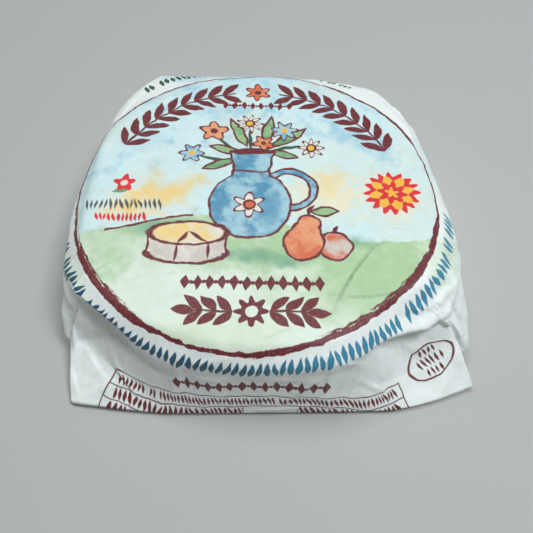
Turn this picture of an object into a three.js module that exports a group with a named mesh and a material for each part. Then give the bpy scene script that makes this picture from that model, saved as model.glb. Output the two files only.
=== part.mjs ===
// A flat round soft cheese wrapped in one sheet of food paper.
// The sheet lies flat over the crown, rounds the shoulder, falls as a slightly hollow wall, and is
// folded under like a parcel, which leaves a straight fold on each side and an ear at each corner.
// Millimetres, +Z up. The origin is the middle of the flat underside, with the front fold at -Y.
import * as THREE from "three";

const HEIGHT = 28; // underside to crown
const CROWN_RADIUS = 59; // the flat top reaches no further than this, nor past the shoulder
const SHOULDER_REACH = 5.5; // width of the rounded shoulder, from the crown's edge to the rim
const CROWN_DOME = 0.4; // rise of the crown's middle above its edge
const SHOULDER_DROP = 5.5; // height of the rounded shoulder, from the crown to the rim
const FOOT_HEIGHT = 1.6; // height of the fold line along the foot
const NOTCH_LIFT = 5; // extra height of the foot where an ear folds over the side
const FOOT_TUCK = 0.9; // how far the lower edge of the fold is tucked in
const FOOT_CLEARANCE = 0.5; // gap between that lower edge and the surface below
const TIP_WIDTH = 2; // blunt end of each ear
const REST_RADIUS = 49; // the flat disc that the cheese rests on
const WALL_HOLLOW = 1.25; // exponent of the wall between the ears: 1 is straight
const EAR_HOLLOW = 2.1; // the same at the ears, where the wall is hollow and the foot flares
const GATHER_DEPTH = 0.5; // the fan of small creases over each shoulder corner
const GATHER_COUNT = 3; // creases to each stretch of rim

// Each corner, anticlockwise from the back right. The rim has four points: the rounded stretch
// ends at the first and last, and the flat facet above the ear lies between the middle two.
// Rim points are [azimuth in degrees, radius]. Foot points are [x, y]: the bend where the ear
// starts, the ear's tip, and the bend where it ends.
const CORNERS = {
  backRight: {
    rim: [[8, 58.5], [33, 63.5], [53, 69], [73, 62.5]],
    foot: [[62.5, 33], [60, 56], [33, 63.5]],
    lifts: [0, 0],
  },
  backLeft: {
    rim: [[100, 62.5], [123.5, 74], [141, 68], [166, 60.5]],
    foot: [[-30, 64], [-57, 61], [-61, 35]],
    lifts: [0, 0],
  },
  frontLeft: {
    rim: [[194, 61], [210, 65.5], [231, 62], [250, 59.5]],
    foot: [[-59.5, -41], [-54.5, -60], [-27, -62.5]],
    lifts: [1, 0],
  },
  frontRight: {
    rim: [[290, 58.5], [310, 60.5], [331, 66], [346, 61.5]],
    foot: [[40, -60.5], [63.5, -53], [63, -44]],
    lifts: [0, 1],
  },
};

const FACET_STEPS = 6; // columns across each stretch of a corner
const SIDE_STEPS = 9; // columns across each side between two corners
const CROWN_ROWS = 5;
const SHOULDER_ROWS = 6;
const WALL_ROWS = 8;
const SHOULDER_SWEEP = THREE.MathUtils.degToRad(78); // the shoulder's arc, a little short of upright

const lerp = THREE.MathUtils.lerp;

function polar([azimuth, radius]) {
  const angle = THREE.MathUtils.degToRad(azimuth);
  return new THREE.Vector2(radius * Math.cos(angle), radius * Math.sin(angle));
}

// A station is one place round the object where the rim and the foot are both known.
function cornerStations({ rim, foot, lifts }) {
  const [start, tip, end] = foot.map(([x, y]) => new THREE.Vector2(x, y));
  const halfTip = end.clone().sub(start).setLength(TIP_WIDTH / 2);
  return [
    { rim: rim[0], foot: start, lift: lifts[0], ear: 0 },
    { rim: rim[1], foot: tip.clone().sub(halfTip), lift: 0, ear: 1 },
    { rim: rim[2], foot: tip.clone().add(halfTip), lift: 0, ear: 1 },
    { rim: rim[3], foot: end, lift: lifts[1], ear: 0 },
  ];
}

// Between the middle two stations the rim runs straight, across the flat facet. Elsewhere it is
// an arc whose radius changes evenly.
function rimBetween(from, to, share) {
  const flat = from.ear === 1 && to.ear === 1;
  if (flat) return polar(from.rim).lerp(polar(to.rim), share);
  const turn = THREE.MathUtils.euclideanModulo(to.rim[0] - from.rim[0], 360);
  return polar([from.rim[0] + turn * share, lerp(from.rim[1], to.rim[1], share)]);
}

// A column is one radial line of the surface, from the crown's edge down to the foot.
function columnBetween(from, to, share) {
  const ear = lerp(from.ear, to.ear, share);
  const gather = Math.sin(2 * Math.PI * GATHER_COUNT * share) * (from.ear + to.ear) / 2;
  return {
    rim: rimBetween(from, to, share),
    foot: from.foot.clone().lerp(to.foot, share),
    footHeight: FOOT_HEIGHT + NOTCH_LIFT * lerp(from.lift, to.lift, share),
    hollow: lerp(WALL_HOLLOW, EAR_HOLLOW, ear),
    gather: GATHER_DEPTH * gather,
  };
}

function allColumns() {
  const stations = Object.values(CORNERS).flatMap(cornerStations);
  return stations.flatMap((from, index) => {
    const to = stations[(index + 1) % stations.length];
    const steps = from.ear === 0 && to.ear === 0 ? SIDE_STEPS : FACET_STEPS;
    return Array.from({ length: steps }, (_, step) => columnBetween(from, to, step / steps));
  });
}

// The points of one column, from just outside the crown's middle to the edge of the flat disc.
function columnPoints(column) {
  const points = [];
  const add = (plan, height) => points.push(new THREE.Vector3(plan.x, plan.y, height));
  const reach = Math.min(column.rim.length() - SHOULDER_REACH, CROWN_RADIUS);
  const edge = column.rim.clone().setLength(reach);
  const rimHeight = HEIGHT - SHOULDER_DROP;

  for (let row = 1; row <= CROWN_ROWS; row++) {
    const share = row / CROWN_ROWS;
    add(edge.clone().multiplyScalar(share), HEIGHT - CROWN_DOME * share ** 2);
  }
  for (let row = 1; row <= SHOULDER_ROWS; row++) {
    const turn = (SHOULDER_SWEEP * row) / SHOULDER_ROWS;
    const outward = Math.sin(turn) / Math.sin(SHOULDER_SWEEP);
    const down = (1 - Math.cos(turn)) / (1 - Math.cos(SHOULDER_SWEEP));
    const fold = column.gather * Math.sin((Math.PI * row) / (SHOULDER_ROWS + 1));
    add(edge.clone().lerp(column.rim, outward), lerp(HEIGHT - CROWN_DOME, rimHeight, down) + fold);
  }
  for (let row = 1; row <= WALL_ROWS; row++) {
    const share = row / WALL_ROWS;
    const plan = column.rim.clone().lerp(column.foot, share ** column.hollow);
    add(plan, lerp(rimHeight, column.footHeight, share));
  }
  const tucked = column.foot.clone().setLength(column.foot.length() - FOOT_TUCK);
  add(tucked, FOOT_CLEARANCE);
  add(column.foot.clone().setLength(REST_RADIUS), 0);
  return points;
}

// Rows of points joined into one closed body, capped by a fan on the crown and one underneath.
function closedBody(columns) {
  const rows = columns[0].length;
  const positions = columns.flat();
  const crown = positions.push(new THREE.Vector3(0, 0, HEIGHT)) - 1;
  const base = positions.push(new THREE.Vector3(0, 0, 0)) - 1;
  const index = [];
  for (let column = 0; column < columns.length; column++) {
    const here = column * rows;
    const next = ((column + 1) % columns.length) * rows;
    index.push(crown, here, next);
    for (let row = 0; row < rows - 1; row++) {
      index.push(here + row, here + row + 1, next + row + 1);
      index.push(here + row, next + row + 1, next + row);
    }
    index.push(base, next + rows - 1, here + rows - 1);
  }
  const geometry = new THREE.BufferGeometry().setFromPoints(positions);
  geometry.setIndex(index);
  geometry.computeVertexNormals();
  return geometry;
}

const paper = new THREE.MeshStandardMaterial({ color: 0xe9e8e4, roughness: 0.6, metalness: 0 });

const wrappedCheese = new THREE.Mesh(closedBody(allColumns().map(columnPoints)), paper);
wrappedCheese.name = "wrapped_cheese";

const cheese = new THREE.Group();
cheese.add(wrappedCheese);

export default cheese;
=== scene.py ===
import math

import bpy
import numpy as np
from mathutils import Matrix, Vector


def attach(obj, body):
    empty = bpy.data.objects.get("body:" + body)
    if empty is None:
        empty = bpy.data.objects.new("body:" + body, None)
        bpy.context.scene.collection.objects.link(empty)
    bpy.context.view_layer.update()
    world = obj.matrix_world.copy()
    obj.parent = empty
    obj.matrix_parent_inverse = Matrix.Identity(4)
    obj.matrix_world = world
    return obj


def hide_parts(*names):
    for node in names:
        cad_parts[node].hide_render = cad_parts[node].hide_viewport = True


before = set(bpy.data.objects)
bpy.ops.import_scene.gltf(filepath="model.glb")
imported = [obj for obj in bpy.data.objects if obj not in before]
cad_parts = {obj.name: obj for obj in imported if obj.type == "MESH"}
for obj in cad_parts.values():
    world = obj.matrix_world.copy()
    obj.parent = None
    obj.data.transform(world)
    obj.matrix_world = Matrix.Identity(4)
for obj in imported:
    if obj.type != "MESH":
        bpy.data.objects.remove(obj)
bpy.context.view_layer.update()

MM = 0.001

# ---------- driving dimensions, millimetres
CROWN_HEIGHT = 28.0  # underside to the flat top
CROWN_LIMIT = 58.5  # the flat top reaches no further out than this
RING_CENTRE = np.array([-3.0, 2.0])  # middle of the printed round, seen from above
RING_RADIUS = 57.0
EDGE_DROP = 0.3  # height from the crown's middle down to its edge
SHOULDER_SPREAD = 1.05  # width of the rounded shoulder, as a share of its height
HOLLOW_SHARE = 0.48  # how far down from the shoulder to the waist the wall is sunk most
HOLLOW_RISE = 0.07  # and how much less far for each millimetre that it is sunk
UNDERSIDE = 0.7  # height of the sheet under the cheese, above the flaps folded over it
UNDER_SHARE = 0.8  # the flat underside reaches out to this share of the foot
TUCK_DEPTH = 1.3  # how far the lower edge of the foot's fold is tucked in
TUCK_HEIGHT = 0.75
FLAP_THICKNESS = 0.08
SHEET_SPAN = 100.0  # length on the flat sheet that is 1 in its UV map
CORNER_PITCH = 0.6  # spacing of the mesh round the wrap, at the corners
SIDE_PITCH = 0.9  # and along the plain sides
ROWS = (70, 14, 10, 10, 18, 4, 3, 3)  # rows of the mesh from each control point to the next
CROWN_SPREAD = 0.75  # less than 1 draws the crown's rows together towards its edge
ROW_BLUR = 1.3  # widest rounding across the folds
COLUMN_BLUR = 3.4  # widest rounding round the wrap
CREASE_STEEP = 0.2  # width of a crease's steep side, as a share of its gentle side
CREASE_CREST = 1.2  # power of a crease's slope: more than 1 makes its crest sharp and its base soft

# The folds of the wrap, anticlockwise from the right side. Each line is one fold, from the
# shoulder down: the points where it leaves the shoulder, passes the waist and reaches the foot,
# how far the wall above the waist is sunk in, the direction in degrees in which the sheet runs
# down the wall, and how sharp the fold is, from 0 for none to 1.
FOLDS = [
    # right side
    ((59.9, -8, 22), (61.2, -8.5, 11), (62.5, -9, 1.6), 0.6, -4, 0),
    ((58.6, 5, 22), (60.8, 6, 11), (62.5, 8, 1.6), 0.6, 4, 0),
    # back right corner
    ((56.4, 17, 23), (59, 21, 11), (62, 24, 1.8), 0.8, 14, 0),
    ((54.4, 27, 23.5), (57.5, 33, 12), (61.5, 41, 5), 1.0, 26, 0.8),
    ((53, 33.5, 24), (54.5, 38, 13), (56, 44, 3), 1.0, 34, 0),
    ((52.2, 35.5, 24), (57, 43, 9), (60, 56, 1.5), 1.5, 42, 1),
    ((47.5, 46, 24), (52, 52, 9), (58.5, 57, 1.5), 2.0, 48, 0),
    ((41.5, 55, 24), (43.5, 57.5, 11), (48, 60.5, 1.5), 1.5, 60, 0.7),
    ((33, 59, 24), (33, 60.5, 12), (33, 63.4, 1.5), 1.0, 74, 0.4),
    # back
    ((20, 61, 24.3), (19, 61.8, 12), (18, 63.8, 1.6), 0.8, 82, 0),
    ((0, 61.8, 24.5), (0, 62.2, 12), (0, 64, 1.6), 0.8, 90, 0),
    ((-20, 62.2, 24.3), (-17, 62.6, 12), (-15, 64, 1.6), 0.8, 98, 0),
    # back left corner
    ((-32, 62.4, 24), (-31, 62.6, 12), (-29, 64, 1.5), 1.0, 106, 0.4),
    ((-41, 62.3, 24), (-43, 62, 12), (-44, 63, 1.5), 1.5, 118, 0.8),
    ((-46, 56.5, 24), (-50.5, 55.5, 10), (-56, 61.5, 1.5), 2.0, 128, 0),
    ((-50, 50.5, 24), (-56, 49, 9), (-57.5, 60, 1.5), 1.5, 136, 1),
    ((-52, 45, 24.3), (-54.5, 44, 13), (-56, 48, 3.5), 1.0, 144, 0),
    ((-53, 42, 24.5), (-57.5, 39, 12), (-60.5, 43, 5.5), 1.0, 150, 0.8),
    ((-56, 30, 24), (-59.5, 30, 11), (-61, 31, 1.8), 0.8, 160, 0),
    ((-58.3, 18, 24), (-60.3, 18, 11), (-61.2, 18, 1.6), 0.6, 170, 0),
    # left side
    ((-60, 4, 23), (-60.8, 4, 11), (-61.2, 4, 1.6), 0.5, 178, 0),
    ((-60.5, -8, 22.5), (-61, -9, 11), (-61.2, -10, 1.6), 0.5, 186, 0),
    ((-59.6, -20, 22.3), (-60.8, -22, 11), (-61, -24, 2.2), 0.5, 194, 0),
    # front left corner
    ((-57.8, -28.5, 22.3), (-59.8, -35.5, 13), (-59.6, -41, 6.8), 0.3, 202, 0.6),
    ((-55.8, -31.5, 23.3), (-57, -36, 14.5), (-57.3, -42.3, 6.3), 0.3, 206, 0.9),
    ((-54, -34.5, 24.6), (-54.3, -39.5, 14), (-53.5, -45, 3.2), 1.0, 216, 0),
    ((-52.9, -35.9, 25), (-57.2, -42, 7.6), (-54.6, -60, 1.5), 2.8, 226, 1),
    ((-46.9, -40.6, 25), (-50.9, -44.3, 9), (-52, -60.4, 1.5), 4.6, 234, 0.2),
    ((-39.4, -46.2, 24.6), (-44.3, -49.8, 8), (-43.5, -61.3, 1.5), 3.4, 244, 0.2),
    ((-33.8, -50.6, 23.6), (-38, -54, 7.2), (-34.5, -62, 1.5), 1.5, 252, 0.2),
    ((-27.6, -54.2, 22.7), (-30, -57.6, 7.6), (-27.2, -62.5, 1.5), 0.8, 260, 0.6),
    # front
    ((-15, -57.8, 22.6), (-15, -59.6, 10), (-14, -62.2, 1.5), 0.7, 266, 0),
    ((2, -58.8, 23), (2, -59.8, 10), (2, -61.7, 1.5), 0.9, 270, 0),
    ((17, -57.2, 23), (17.5, -58.9, 10), (19, -61.2, 1.5), 0.8, 272, 0),
    ((28, -53, 22.6), (30, -55.8, 9), (33, -60.7, 1.5), 1.4, 274, 0),
    # front right corner
    ((34.6, -47.8, 22.4), (38.3, -53, 7.5), (40, -60.2, 1.5), 3.4, 284, 0.5),
    ((39.5, -44.9, 20.3), (43.2, -50.8, 6), (46, -58.9, 1.5), 5.0, 294, 0.3),
    ((47, -42.3, 18.8), (49.4, -45.5, 8.3), (54, -56.5, 1.5), 5.4, 306, 0.6),
    ((52.4, -38.4, 19.2), (56.6, -42, 11.3), (62.5, -53.2, 1.5), 4.0, 314, 0),
    ((53.3, -36.9, 19.7), (57.8, -42, 11), (63.8, -52.8, 1.5), 1.8, 318, 1),
    ((54, -34.5, 20.5), (57, -39.5, 11), (58, -43, 3.5), 1.0, 326, 0),
    ((57.2, -31.5, 21), (61, -37, 12.5), (61.6, -43, 6), 0.4, 332, 0.9),
    ((58.9, -27, 21), (62.6, -36, 11), (63, -42, 6.5), 0.3, 336, 0.6),
    ((60, -20, 21.5), (62, -23, 11), (63, -26, 2), 0.4, 346, 0),
]

# How the sheet lies on the two front ears: the ear's folds, a point of the ear, the point of the
# sheet that is there, and the directions on the ear of the sheet's own right and up.
EARS = [
    (slice(26, 31), (-41.7, -51, 8), (-45.5, -75.8), (0.888, -0.456, -0.071), (0.361, 0.781, 0.504)),
    (slice(35, 40), (40.1, -53.8, 6.4), (46, -75.8), (0.903, 0.403, 0.139), (-0.413, 0.683, 0.603)),
]

# Each of these folds begins a stretch behind a front ear, where the print is folded away.
BARE_FOLDS = (24, 25, 39, 40)

# Creases pressed into the sheet: points along the line, how high it stands, or how deep it lies
# where the number is negative, and how wide its gentle side is. The steep side is on its left.
CREASES = [
    # over the crown
    (
        ((20.5, -40.8, 28.5), (22.9, -36.1, 28.5), (25.8, -31, 28.5), (29.7, -25.5, 28.5), (34, -20, 28)),
        2.5, 6,
    ),
    (((33.3, -21, 28.5), (35.6, -19.1, 28), (38, -18.3, 27.7)), 0.7, 3),
    (((37.9, -35.4, 27.5), (29.8, -38, 28.5), (23, -38.6, 28.8)), 1.1, 5),
    (((20.5, -33.6, 28), (23.4, -31.4, 28.4), (26, -30, 28.6)), -0.6, 4),
    (((-1.2, -53.1, 28), (4, -50.4, 27.9), (12, -46.5, 27.7)), 0.7, 4),
    (((-52.4, -13.3, 27.3), (-47.5, -20, 27.4), (-44.8, -27.9, 27.5)), 0.55, 4),
    (((-31.4, -30.4, 27.7), (-26.9, -32.4, 27.8), (-21, -31, 27.8)), 0.4, 3),
    (((44.5, -14.6, 27.7), (40.4, -13.6, 27.8), (35.9, -14.1, 27.8)), 0.5, 3),
    # front right shoulder
    (
        ((57.2, -29.2, 22.6), (54, -36, 19.4), (50, -40.6, 18.2), (43, -44.4, 19.6), (36.4, -46.8, 21.4)),
        1.7, 5,
    ),
    (((61, -41.5, 7), (58.9, -39.8, 10), (55, -38.5, 14), (50.6, -38.4, 18)), 1.6, 4),
    (((51.3, -35, 22.4), (48.1, -37.2, 21.5), (45, -38.7, 21.8), (40.2, -40, 22.8)), 0.9, 3),
    (((47.2, -40, 18.2), (49.2, -36.5, 21.7), (52.4, -31.4, 24)), 1.0, 3),
    (((50.2, -34.6, 23.1), (54.3, -30.9, 23.2), (57.8, -27, 22.1)), 0.8, 3),
    (((31.4, -49.7, 22), (37.6, -46.8, 15.7), (42.8, -46, 12.2), (48, -47.2, 8.5)), -1.0, 4),
    (((42, -44.2, 14.5), (46.6, -43.2, 13.4), (51, -42, 13.1)), -0.8, 3),
    # front left recess
    (((-55.6, -43.4, 8.2), (-48.1, -43.7, 12.6), (-41, -45, 16.6), (-35, -48.5, 18.6)), -0.9, 5),
    (((-41, -45, 16.8), (-35, -49.5, 17), (-28, -53.8, 16.4), (-20, -56.5, 15.8)), -0.7, 5),
    (((-53.4, -39.2, 16.5), (-47.6, -42.4, 15.5), (-44.6, -46.4, 11.5)), 0.6, 4),
    (((-53, -45, 10), (-48, -49.5, 6.5), (-43.5, -54, 5)), 0.5, 4),
    (((-51, -37, 24), (-52, -39, 17), (-52.2, -40.4, 12)), 0.6, 3),
    # front
    (((-18.6, -56.3, 17.6), (-11.8, -57.6, 17.1), (-3, -58.2, 19.6)), 0.5, 4),
    (((18.4, -54, 24.6), (23.5, -54.8, 21.5), (31, -52.6, 16.4)), 0.6, 4),
    # back right facets
    (((48.7, 30.4, 27.4), (44, 41.4, 26.5), (38, 52, 25.5)), 0.5, 3),
    (((42, 48.6, 25.2), (50, 44, 24), (54, 38, 22)), 0.5, 3),
    # back left facets
    (((-43.7, 54.4, 24.9), (-48, 45.8, 25.2), (-51.3, 34.7, 26.2)), 0.5, 3),
]

# The flaps folded under the cheese, the innermost first: name, the first fold and the last along
# its base, the two ends of its inner edge, and how high it lies.
FLAPS = [
    ("under_flap_back", 6, 13, (22, -6), (-20, -9), 0.56),
    ("under_flap_front", 26, 39, (-18, 9), (21, 6), 0.44),
    ("under_flap_left", 17, 23, (12, 16), (9, -19), 0.32),
    ("under_flap_right", -5, 4, (-9, -17), (-12, 14), 0.2),
]
FLAP_ROOT = 0.66  # height at which a flap leaves the fold at the foot

# Smooth unevenness of the sheet: height, pitch and seed.
CROWN_SLACK = ((0.5, 26, 3), (0.25, 11, 5))
FINE_SLACK = ((0.07, 5, 17), (0.02, 2.2, 23))
WALL_CRUMPLE = (0.22, 9, 11)


# ---------- the folded sheet
def unit(vectors):
    return vectors / np.maximum(np.linalg.norm(vectors, axis=-1, keepdims=True), 1e-9)


def fold_controls():
    """The points of every fold from the crown's edge to the underside, one list for each control."""
    shoulder, waist, foot = (np.array([fold[part] for fold in FOLDS], float) for part in range(3))
    sunk = np.array([fold[3] for fold in FOLDS])
    outward = shoulder * [1, 1, 0]
    reach = np.linalg.norm(outward, axis=1)
    outward = unit(outward)
    drop = CROWN_HEIGHT - shoulder[:, 2]
    edge = outward * np.minimum(reach - SHOULDER_SPREAD * drop, CROWN_LIMIT)[:, None]
    edge[:, 2] = CROWN_HEIGHT - EDGE_DROP
    lowered = (HOLLOW_SHARE - HOLLOW_RISE * sunk)[:, None] * (waist - shoulder)
    hollow = shoulder + lowered - outward * sunk[:, None]
    tuck = foot - unit(foot * [1, 1, 0]) * TUCK_DEPTH
    tuck[:, 2] = TUCK_HEIGHT
    under = foot * UNDER_SHARE
    under[:, 2] = UNDERSIDE
    return [edge, shoulder, hollow, waist, foot, tuck, under]


def sheet_controls():
    """The points of the flat sheet, from the ring's centre, that lie at the folds' control points."""
    knots = fold_controls()
    edge, _, _, waist, foot = knots[:5]
    length = [np.linalg.norm(after - before, axis=1)[:, None] for before, after in zip(knots, knots[1:])]
    turn = np.radians([fold[4] for fold in FOLDS])
    down = np.stack([np.cos(turn), np.sin(turn)], axis=1)
    flat_edge = edge[:, :2] - RING_CENTRE
    flat_shoulder = flat_edge + unit(flat_edge) * length[0]
    flat_hollow = flat_shoulder + down * length[1]
    flat_waist = flat_hollow + down * length[2]
    flat_foot = flat_waist + down * length[3]
    for folds, point_on_ear, flat, right, up in EARS:
        directions = np.stack([right, up], axis=1)
        flat_waist[folds] = flat + (waist[folds] - point_on_ear) @ directions
        flat_foot[folds] = flat + (foot[folds] - point_on_ear) @ directions
        flat_hollow[folds] = (flat_shoulder[folds] + flat_waist[folds]) / 2
        down[folds] = unit(flat_foot[folds] - flat_waist[folds])
    flat_tuck = flat_foot + down * length[4]
    flat_under = flat_tuck + down * length[5]
    flat = [flat_edge, flat_shoulder, flat_hollow, flat_waist, flat_foot, flat_tuck, flat_under]
    return flat + [flat_under * 1.02]


def columns():
    """For each column of the mesh, the fold before it, its share of the way to the next, and its
    place along the rim. Last, the places of the folds."""
    steps_round = [np.roll(knot, -1, axis=0) - knot for knot in fold_controls()[1:5]]
    gaps = np.linalg.norm(steps_round, axis=2).max(axis=0)
    before, share = [], []
    for fold, gap in enumerate(gaps):
        plain = FOLDS[fold][3] < 1 and FOLDS[(fold + 1) % len(FOLDS)][3] < 1
        steps = max(3, round(gap / (SIDE_PITCH if plain else CORNER_PITCH)))
        before += [fold] * steps
        share += [step / steps for step in range(steps)]
    before, share = np.array(before), np.array(share)
    start = np.concatenate([[0], np.cumsum(gaps)])
    return before, share, start[before] + gaps[before] * share, start


def across(values, before, share):
    """Values given for each fold, read off at each column."""
    values = np.asarray(values, float)
    after = (before + 1) % len(values)
    share = share.reshape((-1,) + (1,) * (values.ndim - 1))
    return values[before] * (1 - share) + values[after] * share


def blur(places, widths, ring=math.inf):
    """A matrix that blurs along a line of places, or round a ring of a length, by a width for each."""
    gap = np.abs(places[:, None] - places[None, :])
    gap = np.minimum(gap, ring - gap)
    weight = np.exp(-0.5 * (gap / widths[:, None]) ** 2)
    return weight / weight.sum(axis=1, keepdims=True)


def widening(places, middle, least, rate):
    """A width that is least at a middle and grows away from it."""
    return least + rate * np.abs(places - middle)


def value_noise(flat, pitch, seed):
    """Smooth noise between -1 and 1 at points of a flat sheet."""
    cell = flat / pitch
    base = np.floor(cell).astype(np.int64)
    part = cell - base
    part = part * part * (3 - 2 * part)
    first_key = seed * 2654435761 % 2 ** 31
    total = np.zeros(cell.shape[:-1])
    for right, up in ((0, 0), (1, 0), (0, 1), (1, 1)):
        weight = np.abs(1 - right - part[..., 0]) * np.abs(1 - up - part[..., 1])
        key = first_key ^ (base[..., 0] + right) * 73856093 ^ (base[..., 1] + up) * 19349663
        key = (key ^ (key >> 13)) * 1274126177 & 0x7FFFFFFF
        key = (key ^ (key >> 16)) & 0xFFFF
        total += weight * (key / 32767.5 - 1)
    return total


def crease_height(points, normals, line, height, width):
    """A fold along a line: it falls steeply to the left of the line and gently to the right."""
    line = np.array(line, float)
    lengths = np.concatenate([[0], np.cumsum(np.linalg.norm(np.diff(line, axis=0), axis=1))])
    lift = np.zeros(points.shape[:-1])
    inside = np.all((points > line.min(axis=0) - width) & (points < line.max(axis=0) + width), axis=-1)
    points, normals = points[inside], normals[inside]
    total = np.zeros(len(points))
    nearest = np.full(len(points), 1e9)
    for index, (start, end) in enumerate(zip(line[:-1], line[1:])):
        along = end - start
        size = np.linalg.norm(along)
        share = np.clip(((points - start) @ along) / size ** 2, 0, 1)
        gap = points - (start + share[:, None] * along)
        distance = np.linalg.norm(gap, axis=1)
        left = (np.cross(along, gap) * normals).sum(axis=1) > 0
        place = (lengths[index] + share * size) / lengths[-1]
        fade = np.sin(np.pi * np.clip(place, 0.03, 0.97)) ** 0.6
        wave = np.clip(1 - distance / np.where(left, CREASE_STEEP * width, width), 0, 1) ** CREASE_CREST
        closer = distance < nearest
        nearest = np.where(closer, distance, nearest)
        total = np.where(closer, height * fade * wave, total)
    lift[inside] = total
    return lift


def rows_between(knots, shares):
    """Points from each knot to the next, as columns by rows, without the row at the very middle."""
    rows = []
    for before, after, parts in zip(knots, knots[1:], shares):
        rows += [before * (1 - part) + after * part for part in parts]
    return np.array(rows).transpose(1, 0, 2)[:, 1:]


def sheet_grid():
    """The whole wrap as columns by rows: its points, their places on the flat sheet, how far down
    each row lies, the rows of the control points, and where the sheet shows its print."""
    before, share, places, start = columns()
    count = len(places)
    knots = [
        np.tile([0, 0, CROWN_HEIGHT], (count, 1)),
        *[across(knot, before, share) for knot in fold_controls()],
        np.tile([0, 0, UNDERSIDE], (count, 1)),
    ]
    shares = [np.arange(steps) / steps for steps in ROWS]
    shares[0] = shares[0] ** CROWN_SPREAD
    grid = rows_between(knots, shares)
    sizes = [np.linalg.norm(below - above, axis=1).mean() for above, below in zip(knots, knots[1:])]
    travelled = np.cumsum([0, *sizes])
    nominal = [base + size * parts for base, size, parts in zip(travelled, sizes, shares)]
    nominal = np.concatenate(nominal)[1:]
    knot_rows = np.cumsum(ROWS) - 1
    shoulder, waist, foot, tuck = nominal[knot_rows[[1, 3, 4, 5]]]

    # rounding across the folds: tight at the foot, wider at the shoulder
    at_foot, at_tuck = widening(nominal, foot, 0.22, 0.3), widening(nominal, tuck, 0.3, 0.3)
    soft_width = np.minimum(ROW_BLUR, np.minimum(at_foot, at_tuck))
    soft_width[nominal < shoulder - 12] = 0.8
    at_waist, at_shoulder = widening(nominal, waist, 0.3, 0.3), widening(nominal, shoulder, 0.4, 0.25)
    crisp_width = np.minimum(soft_width, np.minimum(at_waist, at_shoulder))
    soft = blur(nominal, soft_width) @ grid
    crisp = blur(nominal, crisp_width) @ grid
    ear = across([min(1, max(0, fold[3] - 1) / 0.8) for fold in FOLDS], before, share)
    grid = soft + (crisp - soft) * ear[:, None, None]

    # rounding round the wrap: wide on the plain sides, tight at the sharp folds
    ring = start[-1]
    column_width = np.full(count, COLUMN_BLUR)
    for fold, (*_, sharp) in enumerate(FOLDS):
        if sharp > 0:
            gap = np.abs(places - start[fold])
            gap = np.minimum(gap, ring - gap)
            column_width = np.minimum(column_width, widening(gap, 0, 0.3 + 2.2 * (1 - sharp), 0.42))
    round_blur = blur(places, column_width, ring)
    grid = (round_blur @ grid.reshape(count, -1)).reshape(grid.shape)

    sheet_knots = [across(knot, before, share) for knot in sheet_controls()]
    sheet = rows_between([np.tile(-RING_CENTRE, (count, 1)), *sheet_knots], shares)
    sheet = blur(nominal, np.full(len(nominal), 0.8)) @ sheet
    sheet = (round_blur @ sheet.reshape(count, -1)).reshape(sheet.shape)
    on_crown = (np.arange(len(nominal)) < ROWS[0])[None, :, None]
    sheet = np.where(on_crown, grid[..., :2] - RING_CENTRE, sheet)
    bare = np.isin(before, BARE_FOLDS)[:, None] & (nominal > shoulder - 1)
    return grid, sheet, nominal, knot_rows, np.where(bare, 0.0, 1.0)


def grid_normals(grid):
    round_step = np.roll(grid, -1, axis=0) - np.roll(grid, 1, axis=0)
    down_step = np.gradient(grid, axis=1)
    return unit(np.cross(down_step, round_step))


def stray_creases(grid, first_row, last_row, count, reach, height, seed):
    """Short straight creases between random points of some rows of the grid."""
    draw = np.random.default_rng(seed)
    columns_round = len(grid)
    for _ in range(count):
        column, row = draw.integers(columns_round), draw.integers(first_row, last_row)
        start = grid[column, row]
        step = draw.integers(-reach, reach + 1)
        end = grid[(column + step) % columns_round, draw.integers(first_row, last_row)]
        tall = height * draw.uniform(0.4, 1)
        width = draw.uniform(2, 5)
        if 3 < np.linalg.norm(end - start) < 26:
            yield (start, (start + end) / 2, end), tall, width


def uneven(sheet, height, pitch, seed):
    return height * value_noise(sheet, pitch, seed)


def crumple(grid, sheet, nominal, knot_rows):
    """Moves the sheet along its normals: slack over the crown, crumples on the wall, creases."""
    normals = grid_normals(grid)
    edge_row, shoulder_row, _, _, foot_row = knot_rows[:5]
    foot = nominal[foot_row]
    wall = np.clip((nominal - nominal[edge_row]) / 9, 0, 1) * np.clip((foot - nominal) / 3, 0, 1)
    crown = np.clip((nominal[shoulder_row] - nominal) / 6, 0, 1)
    height, pitch, seed = WALL_CRUMPLE
    lift = crown * sum(uneven(sheet, *slack) for slack in CROWN_SLACK)
    lift += wall * height * (1 - 2 * np.abs(value_noise(sheet, pitch, seed)))
    lift += sum(uneven(sheet, *slack) for slack in FINE_SLACK)
    crown_creases = stray_creases(grid, edge_row - 26, shoulder_row, 30, reach=30, height=0.5, seed=53)
    for line, height, width in (*CREASES, *crown_creases):
        lift += crease_height(grid, normals, line, height, width)
    above_foot = np.clip((foot - nominal) / 2.5, 0, 1)
    wall_creases = stray_creases(grid, shoulder_row - 4, foot_row, 90, reach=26, height=0.75, seed=41)
    for line, height, width in wall_creases:
        lift += above_foot * crease_height(grid, normals, line, height, width)
    return grid + normals * lift[..., None]


def add_object(name, data):
    made = bpy.data.objects.new(name, data)
    bpy.context.collection.objects.link(made)
    return made


def new_piece(name, points, faces):
    """A mesh object from points in millimetres."""
    mesh = bpy.data.meshes.new(name)
    mesh.from_pydata((points * MM).tolist(), [], faces)
    mesh.update()
    return add_object(name, mesh)


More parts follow.
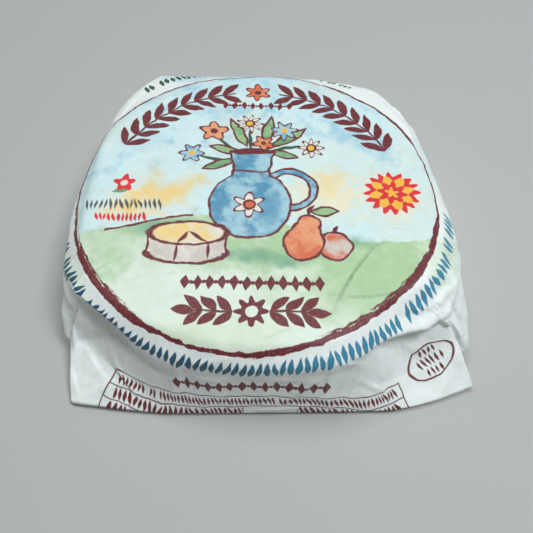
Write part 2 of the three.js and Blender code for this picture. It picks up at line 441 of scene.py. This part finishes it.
def make_wrap():
    """The whole wrap as one closed mesh, with one point more at the crown and one underneath."""
    grid, sheet, nominal, knot_rows, printed = sheet_grid()
    grid = crumple(grid, sheet, nominal, knot_rows)
    count, rows = grid.shape[:2]
    points = np.concatenate([grid.reshape(-1, 3), [grid[:, 0].mean(axis=0), grid[:, -1].mean(axis=0)]])
    flat = np.concatenate([sheet.reshape(-1, 2), [-RING_CENTRE, -RING_CENTRE]])
    here = np.arange(count * rows).reshape(count, rows)
    after = np.roll(here, -1, axis=0)
    quads = np.stack([here[:, :-1], here[:, 1:], after[:, 1:], after[:, :-1]], axis=-1)
    faces = quads.transpose(1, 0, 2).reshape(-1, 4).tolist()
    crown, base = count * rows, count * rows + 1
    for this, beside in zip(here.tolist(), after.tolist()):
        faces.append([crown, this[0], beside[0]])
        faces.append([base, beside[-1], this[-1]])
    piece = new_piece("paper_wrap", points, faces)
    mesh = piece.data
    mesh.polygons.foreach_set("use_smooth", np.ones(len(faces), bool))
    corners = np.empty(len(mesh.loops), np.int32)
    mesh.loops.foreach_get("vertex_index", corners)
    layer = mesh.uv_layers.new(name="sheet")
    layer.data.foreach_set("uv", (flat[corners] / SHEET_SPAN + 0.5).ravel())
    share = mesh.attributes.new("printed", "FLOAT", "POINT")
    share.data.foreach_set("value", np.append(printed.ravel(), [1, 1]))
    return piece


def make_flap(name, first, last, start, end, height):
    """One flap of the sheet folded under the cheese, thinner than a tenth of a millimetre."""
    tuck = fold_controls()[5]
    base = np.array([tuck[index % len(FOLDS)] for index in range(first, last + 1)])
    travelled = np.concatenate([[0], np.cumsum(np.linalg.norm(np.diff(base, axis=0), axis=1))])
    shares = np.linspace(0, 1, 40)
    base = np.stack([np.interp(shares * travelled[-1], travelled, axis) for axis in base.T], axis=1)
    inner = np.array(start) * (1 - shares[:, None]) + np.array(end) * shares[:, None]
    depth = np.linspace(0, 1, 44)[None, :, None]
    plan = base[:, None, :2] * 0.99 * (1 - depth) + inner[:, None] * depth
    rise = np.clip(1 - depth[..., 0] / 0.1, 0, 1) ** 2
    heights = height + (FLAP_ROOT - height) * rise + uneven(plan, 0.035, 9, int(height * 100))
    lower = np.concatenate([plan, heights[..., None]], axis=2)
    upper = lower + [0, 0, FLAP_THICKNESS]
    index = np.arange(heights.size).reshape(heights.shape)
    quads = np.stack([index[:-1, :-1], index[:-1, 1:], index[1:, 1:], index[1:, :-1]], axis=-1)
    quads = quads.reshape(-1, 4)
    border = np.concatenate([index[0], index[1:, -1], index[-1, -2::-1], index[-2:0:-1, 0]])
    beyond = np.roll(border, -1)
    total = index.size
    rim = np.stack([border, beyond, beyond + total, border + total], axis=1)
    faces = np.concatenate([quads[:, ::-1], quads + total, rim]).tolist()
    return new_piece(name, np.concatenate([lower.reshape(-1, 3), upper.reshape(-1, 3)]), faces)


# ---------- shader fields as arithmetic
INK_SOFTNESS = 0.12  # millimetres over which a printed edge fades
PAPER_RELIEF = 0.35  # millimetres of fine unevenness that the bump stands for


class Field:
    """A number, point or colour that varies over the sheet. Arithmetic on it adds nodes."""

    tree = None

    def __init__(self, socket):
        self.socket = socket

    def __add__(self, other):
        return math_node("ADD", self, other)

    def __mul__(self, other):
        return math_node("MULTIPLY", self, other)

    def __abs__(self):
        return math_node("ABSOLUTE", self)


def set_inputs(node, values):
    """Sets or links the inputs of a node, each given by its name or number."""
    for slot, value in values.items():
        if isinstance(value, Field):
            Field.tree.links.new(value.socket, node.inputs[slot])
        else:
            node.inputs[slot].default_value = value


def add_node(kind, values=(), output=0, **settings):
    """One output of a new node, whose inputs are given by name or number, or in order."""
    node = Field.tree.nodes.new(kind)
    for name, setting in settings.items():
        setattr(node, name, setting)
    set_inputs(node, values if isinstance(values, dict) else dict(enumerate(values)))
    return Field(node.outputs[output])


def math_node(operation, *values, clamp=False):
    return add_node("ShaderNodeMath", values, operation=operation, use_clamp=clamp)


def vector_node(operation, *values):
    output = 1 if operation in ("DISTANCE", "DOT_PRODUCT") else 0
    return add_node("ShaderNodeVectorMath", values, output, operation=operation)


def point(x, y, z=1.0):
    return add_node("ShaderNodeCombineXYZ", (x, y, z))


def scaled(field, factor, shift):
    return math_node("MULTIPLY_ADD", field, factor, shift)


def lowest(first, *rest):
    for field in rest:
        first = math_node("MINIMUM", first, field)
    return first


def highest(first, *rest):
    for field in rest:
        first = math_node("MAXIMUM", first, field)
    return first


def step_up(field, low, high):
    """0 below low, 1 above high, and smooth between."""
    return add_node("ShaderNodeMapRange", (field, low, high), interpolation_type="SMOOTHSTEP")


def cover(distance, soft=INK_SOFTNESS):
    """How much of a point a shape covers, from the distance to its edge, negative inside."""
    return math_node("MULTIPLY_ADD", distance, -0.5 / soft, 0.5, clamp=True)


def noise(place, pitch, detail, rough, shift):
    """Smooth noise around 0.5, its blotches about a pitch apart."""
    moved = vector_node("ADD", place, (shift, 1.7 * shift, 0.6 * shift))
    values = {"Vector": moved, "Scale": 1 / pitch, "Detail": detail, "Roughness": rough}
    return add_node("ShaderNodeTexNoise", values)


def chance(index, seed):
    """One random number from 0 to 1 for each whole number."""
    return add_node("ShaderNodeTexWhiteNoise", {"W": index + seed}, noise_dimensions="1D")


def linear(ink):
    """The shader's colour for an ink."""
    return [((part / 255 + 0.055) / 1.055) ** 2.4 for part in INKS[ink]] + [1.0]


def blend(below, above, amount):
    """One colour over another. Each is a field or the name of an ink."""
    below, above = (linear(colour) if isinstance(colour, str) else colour for colour in (below, above))
    return add_node("ShaderNodeMix", {0: amount, 6: below, 7: above}, output=2, data_type="RGBA")


# ---------- drawn shapes
# Each gives the distance to the shape's edge in millimetres, negative inside. A place is a point
# of the sheet with 1 as its third number, so that one dot product both turns and moves it.
def axes(place, centre, angle, half_long=1.0, half_wide=1.0):
    """How far along and beside a shape's axis a place lies, in its half length and half width."""
    cosine, sine = math.cos(math.radians(angle)), math.sin(math.radians(angle))
    x, y = centre
    along = (cosine / half_long, sine / half_long, -(x * cosine + y * sine) / half_long)
    beside = (-sine / half_wide, cosine / half_wide, (x * sine - y * cosine) / half_wide)
    return vector_node("DOT_PRODUCT", place, along), vector_node("DOT_PRODUCT", place, beside)


def span(start, end):
    """Centre, angle in degrees and half length of the line from start to end."""
    centre = ((start[0] + end[0]) / 2, (start[1] + end[1]) / 2)
    angle = math.degrees(math.atan2(end[1] - start[1], end[0] - start[0]))
    return centre, angle, math.dist(start, end) / 2


def disc(place, centre, radius):
    return vector_node("DISTANCE", place, (*centre, 1)) + -radius


def oval(place, centre, half_long, half_wide, angle=0.0):
    along, beside = axes(place, centre, angle, half_long, half_wide)
    square = math_node("MULTIPLY_ADD", beside, beside, along * along)
    return scaled(math_node("SQRT", square), half_wide, -half_wide)


def leaf(place, base, tip, half_wide):
    """A shape pointed at both ends."""
    centre, angle, half_long = span(base, tip)
    along, beside = axes(place, centre, angle, half_long, half_wide)
    return scaled(math_node("MULTIPLY_ADD", along, along, abs(beside)), half_wide, -half_wide)


def stroke(place, start, end, half_wide, bow=0.0):
    """A pen stroke that thins towards its ends and bows to one side."""
    centre, angle, half_long = span(start, end)
    along, beside = axes(place, centre, angle, half_long)
    square = along * along
    bent = math_node("MULTIPLY_ADD", square, bow, beside + -bow)
    return abs(bent) + scaled(square, half_wide, -half_wide)


def flower(place, centre, radius, petals, depth, turn=0.0):
    """A round of petals, whose edge dips between them by a share of the radius."""
    x, y = axes(place, centre, turn)
    reach = vector_node("DISTANCE", place, (*centre, 1))
    wave = math_node("COSINE", math_node("ARCTAN2", y, x) * petals)
    return reach + scaled(wave, -radius * depth, radius * (depth - 1))


def cells(along, pitch):
    """The number of the cell that a place lies in, and how far it lies from the cell's middle."""
    cell = math_node("FLOOR", along * (1 / pitch))
    return cell, along + scaled(cell, -pitch, -pitch / 2)


def within(along, reach):
    """A sharp limit at a distance along a row, which leaves no sliver of what it cuts off."""
    return scaled(abs(along), 40, -40 * reach)


def sprig(along, beside, pitch, pairs, tilt, reach, half_wide):
    """Pairs of leaves on a stem, which tilt away from it by an angle in degrees."""
    cosine, sine = math.cos(math.radians(tilt)), math.sin(math.radians(tilt))
    _, middle = cells(along, pitch)
    side = abs(beside)
    length = pitch * pairs
    shape = highest(scaled(side, 1, -0.25 * half_wide), within(along + -length / 2, length / 2))
    for before in (0, 1):  # the leaf that starts in this cell, and the one that starts in the last
        base = pitch * (0.5 + before)
        forward = middle * (cosine * 2 / reach)
        ahead = forward + scaled(side, sine * 2 / reach, base * cosine * 2 / reach - 1)
        sideways = middle * (-sine / half_wide)
        off = sideways + scaled(side, cosine / half_wide, -base * sine / half_wide)
        outline = math_node("MULTIPLY_ADD", ahead, ahead, abs(off))
        row = within(along + -(length / 2 + before * pitch), length / 2)
        shape = lowest(shape, highest(scaled(outline, half_wide, -half_wide), row))
    return shape


def lozenges(along, beside, pitch, height, half_count):
    """A row of lozenges with a dot between each two."""
    _, middle = cells(along, pitch)
    lozenge = abs(middle) * 1.5 + scaled(abs(beside), 0.8, -0.4 * height)
    gap = abs(middle) + -pitch / 2
    dot = math_node("MULTIPLY_ADD", beside, beside, gap * gap)
    dot = highest(dot + -((0.13 * height) ** 2), within(along, pitch * (half_count - 0.5)))
    return lowest(highest(lozenge, within(along, pitch * half_count)), dot)


def marks(along, beside, pitch, height, seed, reach, heavy):
    """A row of small upright leaves of uneven height and lean, with a gap here and there."""
    cell, middle = cells(along, pitch)
    draw = chance(cell, seed)
    lean = math_node("MULTIPLY_ADD", beside, scaled(draw, 0.5, -0.05), middle)
    tall = abs(beside) + scaled(draw, -0.14 * height, 0.07 * height)
    ahead = lean * (1 / (heavy * pitch))
    shape = math_node("MULTIPLY_ADD", ahead, ahead, tall * (2.2 / height))
    missing = step_up(chance(cell, seed + 31), 0.92, 0.93)
    leaves = scaled(shape + missing * 9, heavy * pitch, -heavy * pitch)
    return highest(leaves, within(along + middle * -1, reach))


# ---------- the print
INKS = {
    "paper": (243, 249, 249),
    "maroon": (104, 36, 44),
    "maroon_pale": (134, 60, 66),
    "teal": (36, 88, 116),
    "teal_pale": (66, 140, 172),
    "pine": (52, 92, 74),
    "red": (226, 50, 56),
    "gold": (250, 190, 74),
    "grey": (88, 92, 98),
    "sky": (213, 238, 243),
    "sky_deep": (160, 208, 230),
    "cloud": (222, 234, 228),
    "glow": (247, 216, 146),
    "glow_pale": (240, 234, 206),
    "hill": (178, 209, 165),
    "hill_dark": (104, 166, 132),
    "hill_pale": (214, 230, 202),
    "cream": (228, 238, 226),
    "blue": (86, 150, 186),
    "blue_pale": (168, 208, 222),
    "rust": (222, 112, 76),
    "rust_pale": (238, 164, 122),
    "linen": (214, 203, 194),
    "linen_pale": (236, 229, 220),
    "leaf": (108, 160, 112),
    "leaf_pale": (160, 196, 146),
}

# Washes of the ground: ink, middle, half length, half width, angle and strength.
SKY_WASHES = (
    ("glow_pale", (28, -3), 36, 17, -8, 1.0),
    ("glow", (24, 2), 17, 8, 20, 0.55),
    ("glow_pale", (-38, -8), 18, 13, 10, 1.0),
    ("glow", (-29, -4), 23, 13, 24, 1.0),
    ("sky_deep", (-38, 20), 15, 9, 50, 0.5),
    ("sky_deep", (-12, 36), 18, 6, 10, 0.7),
    ("sky_deep", (36, 22), 19, 9, -38, 0.9),
)
HILL_WASHES = (
    ("hill", (32, -38), 21, 18, 30, 1.0),
    ("hill", (-42, -28), 16, 11, -40, 0.8),
    ("hill_pale", (-8, -52), 30, 7, 0, 0.7),
    ("hill_dark", (-26, -17), 20, 5, 4, 0.8),
    ("hill_dark", (4, -27), 19, 5, -4, 0.85),
    ("hill_dark", (31, -21), 12, 4, -8, 0.7),
)
MARGIN_WASHES = (
    ("sky_deep", (-8, 58), 52, 9, 0, 0.7),
    ("hill_pale", (58, -24), 16, 9, 66, 0.85),
    ("hill_pale", (-52, -34), 16, 6, -55, 0.7),
    ("sky", (58, 14), 26, 8, 90, 0.6),
    ("sky", (-58, 2), 28, 6, 90, 0.4),
)

# The flowers in the jug. Stems have a start, an end and how far they bow, leaves a base and a tip.
STEMS = (
    ((-3, 14), (-14, 25), 1.5), ((-1, 15), (-2, 27), 0.6), ((1, 15), (9, 25), -1.5),
    ((2, 13), (18, 18), 2.2), ((-4, 13), (-20, 14), 2.0),
)
LEAVES = (
    ((-5, 15), (-15, 17.5)), ((4, 16), (14, 13)), ((-3, 18), (-9, 31)), ((3, 19), (5, 33)),
    ((5, 18), (17, 27)), ((-6, 12), (-17, 7)),
)

# Flowers: middle, radius, petals, how deep the edge dips, turn, two colours, and the heart's
# radius, its ink, or None for the pen's, and whether it has a pen line.
BLOSSOMS = (
    ((-14.5, 25), 4.9, 5, 0.2, 18, "rust", "rust_pale", 1.3, None, False),
    ((9.5, 26), 4.6, 7, 0.22, 10, "blue", "blue_pale", 1.2, "gold", False),
    ((-2.2, 29), 4.5, 9, 0.26, 0, "linen_pale", "linen_pale", 1.6, "gold", True),
    ((18.5, 18), 4.2, 8, 0.24, 0, "linen_pale", "linen_pale", 1.5, "gold", True),
    ((-21, 14), 4.2, 6, 0.22, 0, "blue", "blue_pale", 1.1, "gold", False),
    ((2.6, 19.5), 3.8, 5, 0.2, 50, "rust", "rust_pale", 1.0, None, False),
)

# The pen lines of the cheese's wedge, with their half width.
WEDGE_LINES = (
    ((-19, -18.6), (-12.6, -22.2), 0.6), ((-19, -18.6), (-21.8, -22.8), 0.6),
    ((-12.6, -22.2), (-12.6, -28.6), 0.5), ((-21.8, -22.8), (-21.8, -29.6), 0.5),
)

# The marigold from the outside in: radius, petals, how deep the edge dips, turn and ink.
MARIGOLD_ROUNDS = (
    (9.5, 16, 0.08, 0, "linen_pale"), (9.1, 16, 0.12, 0, "red"), (7.3, 8, 0.16, 11, "gold"),
    (4.9, 8, 0.18, 33, "red"), (2.3, 5, 0.3, 18, "gold"),
)


class Print:
    """The print of the sheet, laid colour over colour."""

    def __init__(self, place):
        shake = point(noise(place, 5, 1, 0.5, 7), noise(place, 5, 1, 0.5, 19), 1.0)
        self.wash = noise(place, 8, 5, 0.62, 31)
        self.bloom = noise(place, 26, 2, 0.5, 43)
        grain = noise(place, 0.9, 2, 0.6, 57)
        self.ragged = noise(place, 2.6, 3, 0.65, 71)
        radius = vector_node("DISTANCE", place, (0, 0, 1))
        angle = math_node("ARCTAN2", *reversed(axes(place, (0, 0), 0)))
        self.streak = noise(point(angle * 9, radius * 1.5), 1, 2, 0.6, 5)
        shifted = vector_node("ADD", place, (-0.8, -0.8, 0))
        self.place = vector_node("MULTIPLY_ADD", shake, (1.6, 1.6, 0), shifted)
        self.x, self.y = axes(self.place, (0, 0), 0)
        self.radius = vector_node("DISTANCE", self.place, (0, 0, 1))
        self.angle = math_node("ARCTAN2", self.y, self.x)
        self.pen = scaled(self.ragged, -0.7, -0.05)
        self.maroon = blend("maroon", "maroon_pale", step_up(grain, 0.4, 0.75))
        self.colour = None

    def lay(self, colour, amount):
        self.colour = blend(self.colour, colour, amount)

    def ink(self, distance, colour=None):
        self.lay(colour or self.maroon, cover(distance))

    def patch(self, colour, centre, half_long, half_wide, angle, strength):
        """A wash that fades out unevenly round a middle."""
        along, beside = axes(self.place, centre, angle, half_long, half_wide)
        fade = math_node("MULTIPLY_ADD", beside, beside, along * along)
        amount = step_up(scaled(self.wash, 2.6, -0.6) + fade * -1, 0.0, 1.0)
        self.lay(colour, amount * strength)

    def figure(self, distance, colour, pale):
        """A painted shape inside a pen line."""
        self.lay(blend(colour, pale, step_up(self.wash, 0.4, 0.6)), cover(distance))
        self.ink(abs(distance) + self.pen)

    def ground(self):
        """Sky, a hill and a pen line along it."""
        crest = scaled(math_node("SINE", scaled(self.x, 0.062, 2.3)), 4.6, -16.5)
        hill = self.y + crest * -1
        self.colour = blend("sky", "sky_deep", step_up(self.wash, 0.5, 0.72))
        self.lay("sky_deep", step_up(self.y + scaled(self.wash, 60, -30), 34, 62) * 0.5)
        self.lay("cloud", step_up(self.bloom, 0.42, 0.62) * 0.6)
        for wash in SKY_WASHES:
            self.patch(*wash)
        meadow = blend("hill", "hill_pale", step_up(self.wash, 0.44, 0.66))
        low = step_up(scaled(self.wash, 26, -13) + scaled(self.x, -0.3, 0) + self.y * -1, 24, 42)
        below = blend(meadow, "cream", low)
        self.lay(below, cover(hill + scaled(self.ragged, 1.4, -0.7), 0.35))
        for wash in HILL_WASHES:
            self.patch(*wash)
        self.ink(highest(abs(hill) + self.pen, abs(self.x + 31) + -13))

    def margin(self):
        """The plain paper outside the ring, with the ground's colours running past it in places."""
        inside = self.colour
        self.colour = "paper"
        for wash in MARGIN_WASHES:
            self.patch(*wash)
        self.lay(inside, cover(self.radius + -RING_RADIUS, 0.3))

    def ring(self):
        """A brushed ring, bold in front and thin behind, that strays from a circle and splits."""
        bold = step_up(self.y * -1, 2, 32)
        sway = math_node("COSINE", scaled(self.angle, 4, 0.56))  # four waves to the turn
        gap = self.radius + scaled(bold * sway, -0.65, -RING_RADIUS)
        rough = scaled(self.ragged, 1.5, -0.75) * scaled(bold, 0.65, 0.35)
        swell = step_up(self.bloom, 0.38, 0.6)
        half = scaled(bold, 0.16, 0.44) + bold * scaled(swell, 0.5, 0)
        slit = scaled(self.streak, 4.5, -3.05) + scaled(bold, -0.3, 0.1)
        self.ink(highest(abs(gap) + rough + half * -1, slit))
        split = step_up(sway * -1, 0.0, 0.7) * scaled(bold, 0.6, 0.4)
        inner = abs(gap + scaled(self.ragged, 1.6, 0.55)) + scaled(split, -0.75, 0.35)
        self.ink(highest(inner, scaled(self.streak, 4, -2.3)))

    def blossom(self, centre, radius, petals, depth, turn, colour, pale, heart, heart_ink, outlined):
        """A flower with a round heart, either plain ink or inside a pen line of its own."""
        self.figure(flower(self.place, centre, radius, petals, depth, turn), colour, pale)
        middle = disc(self.place, centre, heart)
        if outlined:
            self.figure(middle, heart_ink, heart_ink)
        else:
            self.ink(middle, heart_ink)

    def garland(self):
        """A band of leaves from each side up to a flower in the middle."""
        turn = abs(scaled(self.angle, 1, -math.pi / 2))
        along = scaled(turn, -46.5, 55.5)
        self.ink(sprig(along, self.radius + -46.3, 5.3, 9, 40, 8.8, 1.5))
        self.blossom((0, 46.6), 4.6, 6, 0.22, 90, "rust", "rust_pale", 1.2, None, False)
        self.ink(lozenges(self.x, self.y + -38.9, 3.2, 4.2, 4))

    def bands(self):
        """Two rows of ornament below the picture."""
        across_band = self.x + -0.6
        self.ink(lozenges(across_band, self.y + 36.2, 3.4, 5.2, 6))
        self.ink(sprig(abs(across_band) + -5.0, self.y + 45.2, 4.1, 3, 42, 6.8, 1.4))
        self.ink(leaf(self.place, (15.6, -45.2), (22.4, -45.2), 1.5))
        self.ink(leaf(self.place, (-14.4, -45.2), (-21.2, -45.2), 1.5))
        self.ink(flower(self.place, (0.6, -45.2), 4.9, 8, 0.2))
        self.ink(disc(self.place, (0.6, -45.2), 1.7), "cream")

    def picture(self):
        """A jug of wild flowers beside a cheese and fruit."""
        for start, end, bow in STEMS:
            self.ink(stroke(self.place, start, end, 0.7, bow), "pine")
        for base, tip in LEAVES:
            self.figure(leaf(self.place, base, tip, 1.7), "leaf", "leaf_pale")
        for row in BLOSSOMS:
            self.blossom(*row)
        self.jug()
        self.cheese()
        self.fruit()

    def jug(self):
        self.figure(abs(oval(self.place, (11.5, -1), 7.2, 7.4)) + -1.2, "blue", "blue_pale")
        belly = oval(self.place, (-1, -7.5), 12.6, 13.2)
        neck = abs(self.x + 1) + scaled(abs(self.y + -7), -0.22, -5.6)
        neck = highest(neck, abs(self.y + -7.5) + -8.2)
        body = highest(lowest(belly, neck), scaled(self.y, -1, -20.0))
        self.figure(body, "blue", "blue_pale")
        self.patch("blue_pale", (-6, -4), 4, 11, 8, 0.8)
        self.patch("blue", (5, -9), 5, 10, -6, 0.9)
        collar = self.y + scaled(math_node("COSINE", self.x * 0.12), 2.2, -8.0)
        self.ink(highest(abs(collar) + self.pen, body))
        self.blossom((-1.4, -8), 5.0, 6, 0.24, 30, "linen_pale", "linen_pale", 1.7, "rust", True)
        self.ink(oval(self.place, (-1, 15.4), 7.6, 1.5))

    def cheese(self):
        wall = highest(abs(self.x + 19) + -11.4, abs(self.y + 22.6) + -3.6)
        self.figure(lowest(wall, oval(self.place, (-19, -26.2), 11.4, 3.8)), "linen", "linen_pale")
        self.figure(oval(self.place, (-19, -19), 11.4, 4.2), "linen_pale", "glow")
        for start, end, half_wide in WEDGE_LINES:
            self.ink(stroke(self.place, start, end, half_wide))

    def fruit(self):
        pear = lowest(
            disc(self.place, (15, -22), 6.0),
            disc(self.place, (16.6, -15), 3.4),
            oval(self.place, (15.8, -18.5), 5.0, 4.2, 100),
        )
        self.figure(disc(self.place, (24.3, -23), 4.9), "rust", "linen")
        self.figure(pear, "rust", "rust_pale")
        self.ink(stroke(self.place, (16.8, -12), (19, -7.4), 0.8, 0.6))
        self.figure(leaf(self.place, (17.6, -10.4), (26, -9.6), 1.8), "leaf", "leaf_pale")
        self.ink(stroke(self.place, (24.3, -18.6), (25.6, -15.4), 0.7, 0.4))

    def posy(self):
        """A small poppy over rows of fine strokes, at the left."""
        self.ink(leaf(self.place, (-44.6, -3.2), (-38.4, -1.2), 1.1), "leaf")
        self.ink(flower(self.place, (-40.8, 0.6), 3.7, 5, 0.2, 20), "red")
        self.ink(disc(self.place, (-40.8, 0.6), 1.2), "linen_pale")
        self.ink(marks(self.x + 40, self.y + 8.2, 1.5, 4.6, 3, 12, 0.32), "grey")
        self.ink(marks(self.x + 40, self.y + 13.2, 1.35, 3.2, 8, 7.5, 0.38), "red")

    def marigold(self):
        """A round red and gold flower, at the right."""
        for radius, petals, depth, turn, ink in MARIGOLD_ROUNDS:
            self.ink(flower(self.place, (43.3, -1.7), radius, petals, depth, turn), ink)

    def border(self):
        """Small leaves that follow the ring on the plain paper."""
        teal = blend("teal", "teal_pale", step_up(self.x + self.y * -0.3, 10, 42))
        for middle, half, out, pitch, height, seed, colour in (
            (-84, 76, 62.7, 2.15, 5.8, 12, teal),
            (119, 12, 65, 2.2, 5.4, 40, "pine"),
            (62, 6, 63, 1.6, 3.4, 44, "pine"),
        ):
            along = scaled(self.angle, 1, -math.radians(middle)) * out
            reach = math.radians(half) * out
            self.ink(marks(along, self.radius + -out, pitch, height, seed, reach, 0.42), colour)

    def panel(self):
        """A ruled panel on the front fold, with a row of lozenges above it."""
        self.ink(lozenges(self.x, self.y + 71.2, 3.4, 4.8, 7))
        along = self.x + -0.5
        beyond = abs(along) + -45.5
        down = self.y + 75.8
        rules = lowest(*[abs(down + depth) for depth in (0, 4.6, 9.2, 13.8)]) + -0.18
        divider = highest(abs(self.x + -15) + -0.18, down + 4.6)
        edge = highest(abs(beyond) + -0.2, down)
        self.ink(lowest(highest(rules, beyond), divider, edge))
        self.ink(marks(along, down + 2.3, 1.25, 3.5, 71, 44, 0.38))
        gap = scaled(abs(self.x + -6), -1, 8)
        for depth, seed in ((6.9, 75), (11.5, 79)):
            self.ink(highest(marks(along, down + depth, 1.55, 4.1, seed, 44, 0.38), gap))

    def stamp(self):
        """An oval with three rows of strokes, on the front right ear."""
        centre, angle = (58, -74.4), 12
        self.ink(abs(oval(self.place, centre, 7.4, 4.9, angle)) + -0.25)
        along, beside = axes(self.place, centre, angle - 6)
        for shift, reach, seed in ((3.1, 2.4, 91), (0, 5.0, 95), (-3.1, 2.4, 99)):
            self.ink(marks(along, beside + -shift, 1.5, 2.9, seed, reach, 0.3))


def new_material(name):
    material = bpy.data.materials.new(name)
    material.use_nodes = True
    Field.tree = material.node_tree
    return material, material.node_tree.nodes["Principled BSDF"]


def finish_paper(shader, place, colour):
    """Fibre, mottling and fine unevenness over the colour of a sheet of paper."""
    fibre = noise(place, 0.45, 3, 0.6, 101)
    mottle = noise(place, 3.2, 4, 0.6, 113)
    dimmed = vector_node("MULTIPLY", colour, (0.95, 0.95, 0.945))
    worn = blend(colour, dimmed, step_up(mottle, 0.35, 0.7))
    relief = {"Strength": 0.5, "Distance": PAPER_RELIEF * MM, "Height": fibre * 0.4 + mottle}
    set_inputs(shader, {
        "Base Color": worn,
        "Roughness": scaled(fibre, 0.24, 0.36),
        "Normal": add_node("ShaderNodeBump", relief),
        "Specular IOR Level": 0.4,
        "Sheen Weight": 0.08,
        "Sheen Roughness": 0.6,
    })


def printed_paper():
    material, shader = new_material("printed_paper")
    flat = add_node("ShaderNodeUVMap", uv_map="sheet")
    half = SHEET_SPAN / 2
    place = vector_node("MULTIPLY_ADD", flat, (SHEET_SPAN, SHEET_SPAN, 0), (-half, -half, 1))
    sheet = Print(place)
    sheet.ground()
    sheet.margin()
    sheet.ring()
    sheet.garland()
    sheet.picture()
    sheet.bands()
    sheet.posy()
    sheet.marigold()
    sheet.border()
    sheet.panel()
    sheet.stamp()
    share = add_node("ShaderNodeAttribute", output="Fac", attribute_name="printed")
    finish_paper(shader, place, blend("paper", sheet.colour, share))
    return material


def unprinted_paper():
    material, shader = new_material("unprinted_paper")
    place = vector_node("MULTIPLY", add_node("ShaderNodeTexCoord", output="Object"), (1 / MM,) * 3)
    plain = add_node("ShaderNodeRGB")
    plain.socket.default_value = linear("paper")
    finish_paper(shader, place, plain)
    return material


# ---------- camera, floor and light
CAMERA_PITCH = math.radians(55.68)  # the axis of view below the horizon
CAMERA_ROLL = math.radians(1.15)
CAMERA_DISTANCE = 2.643 * RING_RADIUS
CAMERA_AIM = (*(RING_CENTRE + RING_RADIUS * np.array([0.077, -0.538])), CROWN_HEIGHT)
FLOOR_SIZE = 4  # metres
FLOOR_GREY = 0.47
AMBIENT_COLOUR = (1, 0.97, 0.94, 1)
AMBIENT_STRENGTH = 0.16

# Soft square lights over the object: place and width in metres, power in watts, and colour.
LIGHTS = (
    ("key_right", (0.36, -0.08, 0.82), 0.3, 4.6, (0.93, 1, 1)),
    ("key_back", (-0.139, 0.241, 0.856), 0.35, 2.9, (0.94, 1, 1)),
)


def make_camera():
    forward = Vector((0, math.cos(CAMERA_PITCH), -math.sin(CAMERA_PITCH)))
    right = Vector((1, 0, 0))
    up = right.cross(forward)
    turned = right * math.cos(CAMERA_ROLL) + up * math.sin(CAMERA_ROLL)
    raised = up * math.cos(CAMERA_ROLL) - right * math.sin(CAMERA_ROLL)
    camera = add_object("camera", bpy.data.cameras.new("camera"))
    camera.data.lens = 36
    camera.data.sensor_width = 36
    camera.data.clip_start = 0.005
    place = (Vector(CAMERA_AIM) - forward * CAMERA_DISTANCE) * MM
    turn = Matrix((turned, raised, -forward)).transposed()
    camera.matrix_world = Matrix.Translation(place) @ turn.to_4x4()
    bpy.context.scene.camera = camera


def make_floor():
    bpy.ops.mesh.primitive_plane_add(size=FLOOR_SIZE)
    floor = bpy.context.object
    floor.name = "floor"
    material, shader = new_material("floor")
    set_inputs(shader, {"Base Color": (FLOOR_GREY, FLOOR_GREY, FLOOR_GREY, 1), "Roughness": 0.8})
    floor.data.materials.append(material)


def make_light(name, place, width, power, colour):
    lamp = bpy.data.lights.new(name, "AREA")
    lamp.size = width
    lamp.energy = power
    lamp.color = colour
    light = add_object(name, lamp)
    light.location = place
    light.rotation_euler = (-Vector(place)).to_track_quat("-Z", "Y").to_euler()


def make_stage():
    make_floor()
    for row in LIGHTS:
        make_light(*row)
    world = bpy.data.worlds.new("world")
    world.use_nodes = True
    ambient = {"Color": AMBIENT_COLOUR, "Strength": AMBIENT_STRENGTH}
    set_inputs(world.node_tree.nodes["Background"], ambient)
    bpy.context.scene.world = world
    bpy.context.scene.view_settings.view_transform = "Standard"


# ---------- the scene
make_camera()
wrap = make_wrap()
wrap.data.materials.append(printed_paper())
plain_paper = unprinted_paper()
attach(wrap, "root")
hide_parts("wrapped_cheese")
for flap_row in FLAPS:
    flap = make_flap(*flap_row)
    flap.data.materials.append(plain_paper)
    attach(flap, "root")
make_stage()
